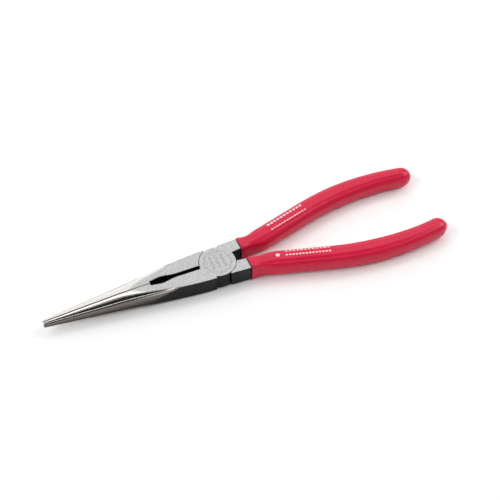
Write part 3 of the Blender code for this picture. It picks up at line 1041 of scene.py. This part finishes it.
@dataclass(frozen=True)
class PrintedMarks:
    """Plain pad-printed dashes, and a dot on the left grip, in thin white ink on the upper skin."""

    joint: Joint
    handle: Handle
    side: Side
    surface: bpy.types.Material
    start: float = 31.0 * MM
    end: float = 52.5 * MM
    dot_at: float = 27.6 * MM
    dot_radius: float = 0.95 * MM
    dot_offset: float = -0.7 * MM
    film: float = 0.015 * MM
    sunk: float = 0.06 * MM
    roundness: float = 5.0

    def rows(self) -> list[tuple[float, int, float]]:
        """Rows of dashes on this side's grip.

        Returns:
            For each row its offset from the centre line, its number of dashes and their half-height.
        """
        if self.side is Side.LEFT:
            return [(-3.0 * MM, 12, 0.4 * MM), (-0.3 * MM, 14, 0.4 * MM)]
        return [(2.0 * MM, 11, 0.6 * MM), (-1.4 * MM, 14, 0.3 * MM)]

    def dashes(self) -> np.ndarray:
        """Lays out the marks.

        Returns:
            A line for each mark: its place, offset, half-length, half-height and roundness.
        """
        lines = []
        for offset, count, half_height in self.rows():
            edges = np.linspace(self.start, self.end, count + 1)
            middle = (edges[1:] + edges[:-1]) / 2
            half_length = DASH_SHARE * (edges[1] - edges[0]) / 2
            lines.extend([(place, offset, half_length, half_height, self.roundness)
                          for place in middle])
        if self.side is Side.LEFT:
            lines.append((self.dot_at, self.dot_offset, self.dot_radius, self.dot_radius, CIRCLE))
        return np.array(lines)

    def build(self) -> bpy.types.Object:
        """Lays a thin film in each mark's outline on the skin, and fits the film out.

        An outline is a superellipse in the skin, with cos and sin of its angle raised to 2 / roundness.
        The film runs from its middle out over the top, down at the edge and back under the skin.

        Returns:
            The finished piece, a mesh of separate closed films.
        """
        at, offset, half_length, half_height, roundness = self.dashes().T[:, :, None, None]
        angle = run(0.0, 2 * math.pi, MARK_POINTS)[None, None]
        ring = np.array(FILM_RINGS + FILM_RINGS[::-1])[None, :, None]
        c, s = np.cos(angle), np.sin(angle)
        x = at + ring * half_length * np.sign(c) * np.abs(c) ** (2 / roundness)
        sideways = offset + ring * half_height * np.sign(s) * np.abs(s) ** (2 / roundness)
        lift = np.repeat([self.film, -self.sunk], len(FILM_RINGS))[None, :, None]
        points = self.handle.skin(x, sideways, lift)
        if self.side is Side.LEFT:
            points[..., 2] = self.joint.thickness - points[..., 2]
        marks = closed_pieces(f"{self.side.value}_printed_marks", points)
        fit_out(marks, self.side, None, self.surface, self.joint.thickness)
        return marks


DASH_SHARE = 0.68
MARK_POINTS = 20
CIRCLE = 2.0
FILM_RINGS = (0.1, 0.55, 1.0)


# ---------------------------------------------------------------- materials

def linear(code: str) -> tuple[float, float, float, float]:
    """Linear colour of an sRGB one, by the curve that the sRGB standard gives.

    Args:
        code: The colour, as # and six hex digits.

    Returns:
        Red, green and blue, and an alpha of 1.
    """
    srgb = np.array([int(code[i:i + 2], 16) for i in (1, 3, 5)]) / 255
    low = srgb / 12.92
    high = ((srgb + 0.055) / 1.055) ** 2.4
    return (*np.where(srgb <= 0.04045, low, high).tolist(), 1.0)


def add(tree: Tree, kind: str, settings: dict | None = None, inputs: dict | None = None) -> bpy.types.Node:
    """Adds a node with its settings, values and links.

    Args:
        tree: The node tree.
        kind: The node's type.
        settings: Values of the node's own properties.
        inputs: For each input, by name or number, a value or the socket that feeds it.

    Returns:
        The new node.
    """
    node = tree.nodes.new(kind)
    for name, value in (settings or {}).items():
        setattr(node, name, value)
    for name, value in (inputs or {}).items():
        if isinstance(value, Socket):
            tree.links.new(value, node.inputs[name])
        else:
            node.inputs[name].default_value = value
    return node


def new_material(name: str) -> tuple[bpy.types.Material, Tree]:
    """New material with an empty node tree.

    Args:
        name: The material's name.

    Returns:
        The material and its tree.
    """
    material = bpy.data.materials.new(name)
    material.use_nodes = True
    material.node_tree.nodes.clear()
    return material, material.node_tree


@dataclass(frozen=True)
class DippedPvc:
    """Plasticised PVC, dipped hot and drained: a deep red skin with a wet gloss and a faint ripple."""

    colour: str = "#d31b41"
    deep: str = "#c6163b"
    smoothest: float = 0.20
    roughest: float = 0.30
    ior: float = 1.53
    gloss: float = 0.28
    relief: float = 0.1
    ripple: float = 6.0 * MM
    ripple_depth: float = 0.3 * MM
    grain: float = 0.8 * MM
    grain_depth: float = 0.01 * MM

    def build(self) -> bpy.types.Material:
        """Builds the material: slow ripples as left by draining, and a grain that breaks up the gloss.

        Returns:
            The material.
        """
        material, tree = new_material("dipped_pvc")
        place = add(tree, "ShaderNodeTexCoord").outputs["Object"]
        ripple = add(tree, "ShaderNodeTexNoise", None,
                     {"Vector": place, "Scale": 1 / self.ripple, "Detail": 2.0}).outputs["Fac"]
        grain = add(tree, "ShaderNodeTexNoise", None,
                    {"Vector": place, "Scale": 1 / self.grain, "Detail": 3.0}).outputs["Fac"]
        colour = add(tree, "ShaderNodeMix", {"data_type": "RGBA"},
                     {0: ripple, 6: linear(self.colour), 7: linear(self.deep)})
        rough = add(tree, "ShaderNodeMapRange", None,
                    {"Value": grain, "To Min": self.smoothest, "To Max": self.roughest})
        wave = add(tree, "ShaderNodeBump", None,
                   {"Height": ripple, "Strength": self.relief, "Distance": self.ripple_depth})
        fine = add(tree, "ShaderNodeBump", None,
                   {"Height": grain, "Strength": self.relief, "Distance": self.grain_depth,
                    "Normal": wave.outputs["Normal"]})
        shader = add(tree, "ShaderNodeBsdfPrincipled", None,
                     {"Base Color": colour.outputs[2], "Roughness": rough.outputs["Result"],
                      "IOR": self.ior, "Specular IOR Level": self.gloss,
                      "Normal": fine.outputs["Normal"]})
        add(tree, "ShaderNodeOutputMaterial", None, {"Surface": shader.outputs["BSDF"]})
        return material


@dataclass(frozen=True)
class WhiteInk:
    """Pad-printing ink on PVC: a thin white film, a little worn, with the red showing through."""

    fresh: str = "#f6dde1"
    thin: str = "#e78f9f"
    roughness: float = 0.45
    wear: float = 0.7 * MM
    thin_from: float = 0.45
    thin_to: float = 0.75

    def build(self) -> bpy.types.Material:
        """Builds the material: patches of wear between the fresh and the thin colour.

        Returns:
            The material.
        """
        material, tree = new_material("white_ink")
        place = add(tree, "ShaderNodeTexCoord").outputs["Object"]
        wear = add(tree, "ShaderNodeTexNoise", None,
                   {"Vector": place, "Scale": 1 / self.wear, "Detail": 4.0}).outputs["Fac"]
        share = add(tree, "ShaderNodeMapRange", None,
                    {"Value": wear, "From Min": self.thin_from, "From Max": self.thin_to})
        colour = add(tree, "ShaderNodeMix", {"data_type": "RGBA"},
                     {0: share.outputs["Result"], 6: linear(self.fresh), 7: linear(self.thin)})
        shader = add(tree, "ShaderNodeBsdfPrincipled", None,
                     {"Base Color": colour.outputs[2], "Roughness": self.roughness})
        add(tree, "ShaderNodeOutputMaterial", None, {"Surface": shader.outputs["BSDF"]})
        return material


@dataclass(frozen=True)
class PaleFloor:
    """Painted board under the tool: matt and almost white."""

    colour: str = "#fbfbfb"
    roughness: float = 0.6

    def build(self) -> bpy.types.Material:
        """Builds the material, one plain colour.

        Returns:
            The material.
        """
        material, tree = new_material("pale_floor")
        shader = add(tree, "ShaderNodeBsdfPrincipled", None,
                     {"Base Color": linear(self.colour), "Roughness": self.roughness})
        add(tree, "ShaderNodeOutputMaterial", None, {"Surface": shader.outputs["BSDF"]})
        return material


@dataclass(frozen=True)
class GroundFaces:
    """Surface-ground steel on the tool's two flat faces: an even light grey with a fine mottle.

    Grinding takes only the faces, so whatever lies deeper keeps the finish that it had before.
    """

    joint: Joint
    light: str = "#cacaca"
    dull: str = "#a8a8a8"
    roughness: float = 0.4
    depth: float = 0.11 * MM
    mottle: float = 0.8 * MM
    dull_up_to: float = 0.35
    light_from: float = 0.65

    def heights(self, tree: Tree, level: Socket) -> tuple[Socket, Socket]:
        """Adds the distance from mid-thickness.

        Args:
            tree: The node tree.
            level: Height of the point shaded.

        Returns:
            The distance with its sign, and without it.
        """
        offset = add(tree, "ShaderNodeMath", {"operation": "SUBTRACT"},
                     {0: level, 1: self.joint.middle}).outputs[0]
        return offset, add(tree, "ShaderNodeMath", {"operation": "ABSOLUTE"}, {0: offset}).outputs[0]

    def mask(self, tree: Tree, height: Socket) -> Socket:
        """Adds the mask of the ground faces.

        Args:
            tree: The node tree.
            height: Distance from mid-thickness, without its sign.

        Returns:
            1 on the faces and 0 below their depth.
        """
        middle = self.joint.middle
        return add(tree, "ShaderNodeMapRange", None,
                   {"Value": height, "From Min": middle - self.depth,
                    "From Max": middle - self.depth / 2}).outputs["Result"]

    def mottled(self, tree: Tree, place: Socket) -> Socket:
        """Adds the mottle's noise.

        Args:
            tree: The node tree.
            place: The point shaded.

        Returns:
            The noise.
        """
        return add(tree, "ShaderNodeTexNoise", None,
                   {"Vector": place, "Scale": 1 / self.mottle, "Detail": 4.0,
                    "Roughness": 0.6}).outputs["Fac"]

    def colour(self, tree: Tree, mottle: Socket, mask: Socket, below: Socket | tuple) -> Socket:
        """Adds the mottled grey of the faces over the colour below them.

        Args:
            tree: The node tree.
            mottle: The mottle's noise.
            mask: The mask of the ground faces.
            below: The colour below the faces.

        Returns:
            The colour.
        """
        patch = add(tree, "ShaderNodeMapRange", None,
                    {"Value": mottle, "From Min": self.dull_up_to, "From Max": self.light_from})
        face = add(tree, "ShaderNodeMix", {"data_type": "RGBA"},
                   {0: patch.outputs["Result"], 6: linear(self.dull), 7: linear(self.light)})
        return add(tree, "ShaderNodeMix", {"data_type": "RGBA"},
                   {0: mask, 6: below, 7: face.outputs[2]}).outputs[2]


@dataclass(frozen=True)
class ForgedSteel:
    """Drop-forged tool steel in three finishes: ground flats, polished nose, black sides.

    The nose is belt-polished along its length, so it mirrors the room with faint lengthwise lines; down
    its flanks a darker colour is painted reflection, and lower still painted shade.
    The sides, the oval, the cutter and the closing faces keep the thin black oxide of the hardening
    bath, with the upright lines of broaching.  Grit and belt leave finer marks than the grain and the
    lines drawn here, which are as coarse as they need to be to show.
    """

    faces: GroundFaces
    nose: Nose
    polished: str = "#dcd9d5"
    # flank is painted reflection, a darker brown-grey down the polished sides; the low flank colour below
    # it is painted shade, darker towards the bottom of the nose.
    flank: str = "#756c66"
    flank_painted_shade: str = "#2a2624"
    black: str = "#0a0b0d"
    slate: str = "#20272b"
    # The recess colour is painted shade: the sunk side between the shoulders by the disc is drawn darkest.
    recess_painted_shade: str = "#070708"
    polished_roughness: float = 0.14
    polished_spread: float = 0.05
    ground_spread: float = 0.08
    black_roughness: float = 0.42
    black_specular: float = 0.2
    black_top: float = -23.2 * MM
    black_bottom: float = -41.0 * MM
    black_fade: float = 1.8 * MM
    black_ragged: float = 1.5 * MM
    inside_front: float = -34.0 * MM
    inside_half_width: float = 2.6 * MM
    # Half-width of the black along the closing plane ahead of the oval: the closing faces' oxide, and
    # painted shade over their rounded edges along the seam.
    oxide_and_seam_shade_half_width: float = 0.31 * MM
    slate_from: float = 7.0 * MM
    slate_to: float = 9.0 * MM
    recess_half_length: float = 3.75 * MM
    recess_from: float = 6.0 * MM
    # Shares of the nose's half-thickness where the painted reflection on the flanks starts and is full,
    # and where the painted shade low down starts and is full.
    painted_reflection_from: float = 0.93
    painted_reflection_to: float = 0.6
    painted_shade_from: float = 0.35
    painted_shade_to: float = -0.45
    grain: float = 0.16 * MM
    grain_relief: float = 0.25
    grain_depth: float = 0.02 * MM
    belt_line: float = 0.3 * MM
    belt_relief: float = 0.12
    belt_depth: float = 0.03 * MM
    broach_line: float = 0.5 * MM
    broach_width: float = 0.2
    broach_share: float = 0.5
    line_stretch: float = 0.03

    def oxide_and_seam_shade(self, tree: Tree, along: Socket, level: Socket, width: Socket, lines: Socket) -> Socket:
        """Adds the mask of the black oxide, and of painted shade along the seam.

        Outside, it ends at a place that moves from black_bottom to black_top with height, made ragged
        by the belt's lines.  Inside, it covers the oval and the cutter, and further forward the closing
        faces, with the black carried over their rounded edges as painted shade along the seam.

        Args:
            tree: The node tree.
            along: Place along X.
            level: Height.
            width: Distance from the closing plane.
            lines: The belt's lines.

        Returns:
            1 where the oxide is left or the seam's shade is painted, and 0 on bare steel.
        """
        front = add(tree, "ShaderNodeMapRange", None,
                    {"Value": level, "From Min": 0.0, "From Max": self.faces.joint.thickness,
                     "To Min": self.black_bottom, "To Max": self.black_top})
        ragged = add(tree, "ShaderNodeMapRange", None,
                     {"Value": lines, "To Min": -self.black_ragged, "To Max": self.black_ragged})
        edge = add(tree, "ShaderNodeMath", {"operation": "ADD"},
                   {0: front.outputs["Result"], 1: ragged.outputs["Result"]})
        past = add(tree, "ShaderNodeMath", {"operation": "SUBTRACT"}, {0: along, 1: edge.outputs[0]})
        outside = add(tree, "ShaderNodeMapRange", None,
                      {"Value": past.outputs[0], "From Min": -self.black_fade,
                       "From Max": self.black_fade})
        # Ahead of the oval, the black over the closing edges is painted shade along the seam.
        behind = add(tree, "ShaderNodeMath", {"operation": "GREATER_THAN"},
                     {0: along, 1: self.inside_front})
        reach = add(tree, "ShaderNodeMix", None,
                    {0: behind.outputs[0], 2: self.oxide_and_seam_shade_half_width, 3: self.inside_half_width})
        inside = add(tree, "ShaderNodeMath", {"operation": "LESS_THAN"},
                     {0: width, 1: reach.outputs[0]})
        return add(tree, "ShaderNodeMath", {"operation": "MAXIMUM"},
                   {0: outside.outputs["Result"], 1: inside.outputs[0]}).outputs[0]

    def bare_colour(self, tree: Tree, along: Socket, offset: Socket, height: Socket) -> Socket:
        """Adds the colour of the polished nose: painted reflection darkens its flanks, and painted shade
        darkens their lower part.

        Heights are taken as shares of the nose's half-thickness, which grows evenly from the tip to
        where the ground flat starts.

        Args:
            tree: The node tree.
            along: Place along X.
            offset: Distance from mid-thickness, with its sign.
            height: The same distance without it.

        Returns:
            The colour.
        """
        half = add(tree, "ShaderNodeMapRange", None,
                   {"Value": along, "From Min": -self.nose.length, "From Max": -self.nose.top_runout,
                    "To Min": self.nose.tip_half_thickness,
                    "To Max": self.faces.joint.middle}).outputs["Result"]
        share = add(tree, "ShaderNodeMath", {"operation": "DIVIDE"}, {0: height, 1: half})
        # Painted reflection: the flanks darken from the polished grey to the flank colour.
        flank = add(tree, "ShaderNodeMapRange", None,
                    {"Value": share.outputs[0], "From Min": self.painted_reflection_from,
                     "From Max": self.painted_reflection_to})
        # Painted shade: darker towards the bottom of the nose.
        signed = add(tree, "ShaderNodeMath", {"operation": "DIVIDE"}, {0: offset, 1: half})
        low = add(tree, "ShaderNodeMapRange", None,
                  {"Value": signed.outputs[0], "From Min": self.painted_shade_from, "From Max": self.painted_shade_to})
        side = add(tree, "ShaderNodeMix", {"data_type": "RGBA"},
                   {0: low.outputs["Result"], 6: linear(self.flank), 7: linear(self.flank_painted_shade)})
        return add(tree, "ShaderNodeMix", {"data_type": "RGBA"},
                   {0: flank.outputs["Result"], 6: linear(self.polished),
                    7: side.outputs[2]}).outputs[2]

    def black_colour(self, tree: Tree, place: Socket, along: Socket, width: Socket) -> Socket:
        """Adds the colour of the oxide: black, slate on the necks, and painted shade that makes it darkest
        in the recess by the disc.

        Args:
            tree: The node tree.
            place: The point shaded.
            along: Place along X.
            width: Distance from the closing plane.

        Returns:
            The colour, broken up by the broach's upright lines.
        """
        necked = add(tree, "ShaderNodeMapRange", None,
                     {"Value": along, "From Min": self.slate_from, "From Max": self.slate_to})
        dark = add(tree, "ShaderNodeMix", {"data_type": "RGBA"},
                   {0: necked.outputs["Result"], 6: linear(self.black), 7: linear(self.slate)})
        # Painted shade: darkest in the recess by the disc, between the shoulders.
        by_disc = add(tree, "ShaderNodeMath", {"operation": "COMPARE"},
                      {0: along, 1: 0.0, 2: self.recess_half_length})
        at_rim = add(tree, "ShaderNodeMath", {"operation": "GREATER_THAN"},
                     {0: width, 1: self.recess_from})
        in_shaded_recess = add(tree, "ShaderNodeMath", {"operation": "MULTIPLY"},
                        {0: by_disc.outputs[0], 1: at_rim.outputs[0]})
        sunk = add(tree, "ShaderNodeMix", {"data_type": "RGBA"},
                   {0: in_shaded_recess.outputs[0], 6: dark.outputs[2], 7: linear(self.recess_painted_shade)})
        upright = add(tree, "ShaderNodeMapping", None,
                      {"Vector": place, "Scale": (1.0, self.broach_width, self.line_stretch)})
        broach = add(tree, "ShaderNodeTexNoise", None,
                     {"Vector": upright.outputs[0], "Scale": 1 / self.broach_line, "Detail": 2.0})
        return add(tree, "ShaderNodeMix", {"data_type": "RGBA", "blend_type": "MULTIPLY"},
                   {0: self.broach_share, 6: sunk.outputs[2], 7: broach.outputs["Fac"]}).outputs[2]

    def roughness(self, tree: Tree, oxide_and_seam_shade: Socket, flat: Socket, lines: Socket,
                  grain: Socket) -> Socket:
        """Adds the roughness of the three finishes.

        Args:
            tree: The node tree.
            oxide_and_seam_shade: The mask of the black oxide and of the painted seam shade.
            flat: The mask of the ground faces.
            lines: The belt's lines.
            grain: The grit's grain.

        Returns:
            The roughness.
        """
        polish = add(tree, "ShaderNodeMapRange", None,
                     {"Value": lines, "To Min": self.polished_roughness - self.polished_spread,
                      "To Max": self.polished_roughness + self.polished_spread})
        side = add(tree, "ShaderNodeMix", None,
                   {0: oxide_and_seam_shade, 2: polish.outputs["Result"], 3: self.black_roughness})
        ground = add(tree, "ShaderNodeMapRange", None,
                     {"Value": grain, "To Min": self.faces.roughness - self.ground_spread,
                      "To Max": self.faces.roughness + self.ground_spread})
        return add(tree, "ShaderNodeMix", None,
                   {0: flat, 2: side.outputs[0], 3: ground.outputs["Result"]}).outputs[0]

    def build(self) -> bpy.types.Material:
        """Builds the material from its three finishes and their masks.

        Returns:
            The material.
        """
        faces = self.faces
        material, tree = new_material("forged_steel")
        place = add(tree, "ShaderNodeTexCoord").outputs["Object"]
        xyz = add(tree, "ShaderNodeSeparateXYZ", None, {0: place}).outputs
        offset, height = faces.heights(tree, xyz["Z"])
        width = add(tree, "ShaderNodeMath", {"operation": "ABSOLUTE"}, {0: xyz["Y"]}).outputs[0]
        grain = add(tree, "ShaderNodeTexNoise", None,
                    {"Vector": place, "Scale": 1 / self.grain, "Detail": 2.0}).outputs["Fac"]
        stretched = add(tree, "ShaderNodeMapping", None,
                        {"Vector": place, "Scale": (self.line_stretch, 1.0, 1.0)})
        lines = add(tree, "ShaderNodeTexNoise", None,
                    {"Vector": stretched.outputs[0], "Scale": 1 / self.belt_line,
                     "Detail": 4.0}).outputs["Fac"]
        flat = faces.mask(tree, height)
        oxide_and_seam_shade = self.oxide_and_seam_shade(tree, xyz["X"], xyz["Z"], width, lines)
        sides = add(tree, "ShaderNodeMix", {"data_type": "RGBA"},
                    {0: oxide_and_seam_shade, 6: self.bare_colour(tree, xyz["X"], offset, height),
                     7: self.black_colour(tree, place, xyz["X"], width)})
        colour = faces.colour(tree, faces.mottled(tree, place), flat, sides.outputs[2])
        bare = add(tree, "ShaderNodeMath", {"operation": "SUBTRACT", "use_clamp": True},
                   {0: 1.0, 1: oxide_and_seam_shade})
        metallic = add(tree, "ShaderNodeMath", {"operation": "MAXIMUM"}, {0: bare.outputs[0], 1: flat})
        polished = add(tree, "ShaderNodeBump", None,
                       {"Height": lines, "Strength": self.belt_relief, "Distance": self.belt_depth})
        sanded = add(tree, "ShaderNodeBump", None,
                     {"Height": grain, "Strength": self.grain_relief, "Distance": self.grain_depth,
                      "Normal": polished.outputs["Normal"]})
        shader = add(tree, "ShaderNodeBsdfPrincipled", None,
                     {"Base Color": colour, "Metallic": metallic.outputs[0],
                      "Roughness": self.roughness(tree, oxide_and_seam_shade, flat, lines, grain),
                      "Specular IOR Level": self.black_specular, "Normal": sanded.outputs["Normal"]})
        add(tree, "ShaderNodeOutputMaterial", None, {"Surface": shader.outputs["BSDF"]})
        return material


@dataclass(frozen=True)
class RivetSteel:
    """Cold-headed carbon steel, ground flush in the same pass as the flats, so it has their grey."""

    faces: GroundFaces
    struck: str = "#1c1c1d"
    spread: float = 0.06

    def build(self) -> bpy.types.Material:
        """Builds the material, with the shank and the floors of the ticks dark.

        Returns:
            The material.
        """
        faces = self.faces
        material, tree = new_material("rivet_steel")
        place = add(tree, "ShaderNodeTexCoord").outputs["Object"]
        level = add(tree, "ShaderNodeSeparateXYZ", None, {0: place}).outputs["Z"]
        height = faces.heights(tree, level)[1]
        mottle = faces.mottled(tree, place)
        colour = faces.colour(tree, mottle, faces.mask(tree, height), linear(self.struck))
        rough = add(tree, "ShaderNodeMapRange", None,
                    {"Value": mottle, "To Min": faces.roughness - self.spread,
                     "To Max": faces.roughness + self.spread})
        shader = add(tree, "ShaderNodeBsdfPrincipled", None,
                     {"Base Color": colour, "Metallic": 1.0, "Roughness": rough.outputs["Result"]})
        add(tree, "ShaderNodeOutputMaterial", None, {"Surface": shader.outputs["BSDF"]})
        return material


# ---------------------------------------------------------------- studio

def stand(thing: bpy.types.Object, azimuth: float, elevation: float, distance: float) -> None:
    """Places a camera or lamp on a sphere round the pivot, looking at the pivot.

    Args:
        thing: The camera or lamp.
        azimuth: Turn about Z from the right-hand side, -Y.
        elevation: Angle above the floor.
        distance: Distance from the pivot.
    """
    flat = math.cos(elevation)
    thing.location = (distance * math.sin(azimuth) * flat, -distance * math.cos(azimuth) * flat,
                      distance * math.sin(elevation))
    thing.rotation_euler = (math.pi / 2 - elevation, 0.0, azimuth)
    bpy.context.scene.collection.objects.link(thing)


@dataclass(frozen=True)
class Softbox:
    """Rectangular lamp, placed by its angles in degrees and its distance in metres."""

    name: str
    azimuth: float
    elevation: float
    distance: float
    width: float
    height: float
    brightness: float

    def build(self) -> None:
        """Adds the lamp, with the power that gives its face the wanted brightness."""
        data = bpy.data.lights.new(self.name, "AREA")
        data.shape = "RECTANGLE"
        data.size, data.size_y = self.width, self.height
        data.energy = self.brightness * math.pi * self.width * self.height
        stand(bpy.data.objects.new(self.name, data), math.radians(self.azimuth),
              math.radians(self.elevation), self.distance)


@dataclass(frozen=True)
class Studio:
    """Pale floor, softboxes behind, above and at the sides, a thin strip in front, and the camera."""

    azimuth: float = math.radians(-22.611)
    elevation: float = math.radians(51.66)
    distance: float = 0.4966
    lens: float = 74.68
    shift: tuple[float, float] = (0.0651, 0.0464)
    floor_half: float = 3.0
    ceiling: float = 0.015
    wall: float = 0.55
    wall_top: tuple[float, float] = (0.25, 0.6)
    lamps: tuple[Softbox, ...] = (
        Softbox("back_softbox", 180.0, 35.0, 1.6, 3.0, 1.36, 1.15),
        Softbox("high_strip", 180.0, 64.0, 1.6, 3.0, 0.24, 2.4),
        Softbox("high_fade", 180.0, 73.0, 1.6, 3.0, 0.24, 0.45),
        Softbox("front_strip", 0.0, 62.0, 1.6, 2.6, 0.26, 2.6),
        Softbox("nose_side_softbox", -90.0, 38.0, 1.8, 1.2, 1.0, 4.2),
        Softbox("hand_side_softbox", 90.0, 38.0, 1.8, 1.2, 1.0, 4.2),
    )

    def camera(self) -> None:
        """Adds the camera, aimed at the pivot and shifted to centre the tool."""
        data = bpy.data.cameras.new("camera")
        data.lens = self.lens
        data.shift_x, data.shift_y = self.shift
        data.clip_start = 0.01
        camera = bpy.data.objects.new("camera", data)
        stand(camera, self.azimuth, self.elevation, self.distance)
        bpy.context.scene.camera = camera

    def floor(self) -> None:
        """Adds the floor under the lowest point of the tool."""
        half, low = self.floor_half, CAD_BOX[0].z
        mesh = bpy.data.meshes.new("floor")
        mesh.from_pydata([(-half, -half, low), (half, -half, low), (half, half, low),
                          (-half, half, low)], [], [(0, 1, 2, 3)])
        mesh.materials.append(PaleFloor().build())
        floor = bpy.data.objects.new("floor", mesh)
        bpy.context.scene.collection.objects.link(floor)

    def build(self) -> None:
        """Adds the floor, the lamps, the surrounding light and the camera."""
        self.floor()
        for lamp in self.lamps:
            lamp.build()
        self.room()
        bpy.context.scene.view_settings.view_transform = "Standard"
        self.camera()

    def room(self) -> None:
        """Adds the room: pale walls low down that fade upwards into a dark ceiling."""
        world = bpy.data.worlds.new("studio")
        world.use_nodes = True
        tree = world.node_tree
        tree.nodes.clear()
        direction = add(tree, "ShaderNodeTexCoord").outputs["Generated"]
        rise = add(tree, "ShaderNodeSeparateXYZ", None, {0: direction}).outputs["Z"]
        start, end = self.wall_top
        light = add(tree, "ShaderNodeMapRange", {"interpolation_type": "SMOOTHSTEP"},
                    {"Value": rise, "From Min": start, "From Max": end,
                     "To Min": self.wall, "To Max": self.ceiling})
        glow = add(tree, "ShaderNodeBackground", None, {"Strength": light.outputs["Result"]})
        add(tree, "ShaderNodeOutputWorld", None, {"Surface": glow.outputs["Background"]})
        bpy.context.scene.world = world


def main() -> None:
    """Builds the tool piece by piece, then the studio."""
    logging.basicConfig(level=logging.INFO, format="%(name)s: %(message)s")
    joint = Joint()
    nose = Nose(joint)
    handle = Handle(joint)
    faces = GroundFaces(joint)
    steel = ForgedSteel(faces, nose).build()
    pvc = DippedPvc().build()
    ink = WhiteInk().build()
    for side in Side:
        ForgedHalf(joint, nose, handle, side, steel).build()
        DippedGrip(joint, handle, side, pvc).build()
        PrintedMarks(joint, handle, side, ink).build()
    PivotRivet(joint, RivetSteel(faces).build()).build()
    Studio().build()


if __name__ == "__main__":
    main()
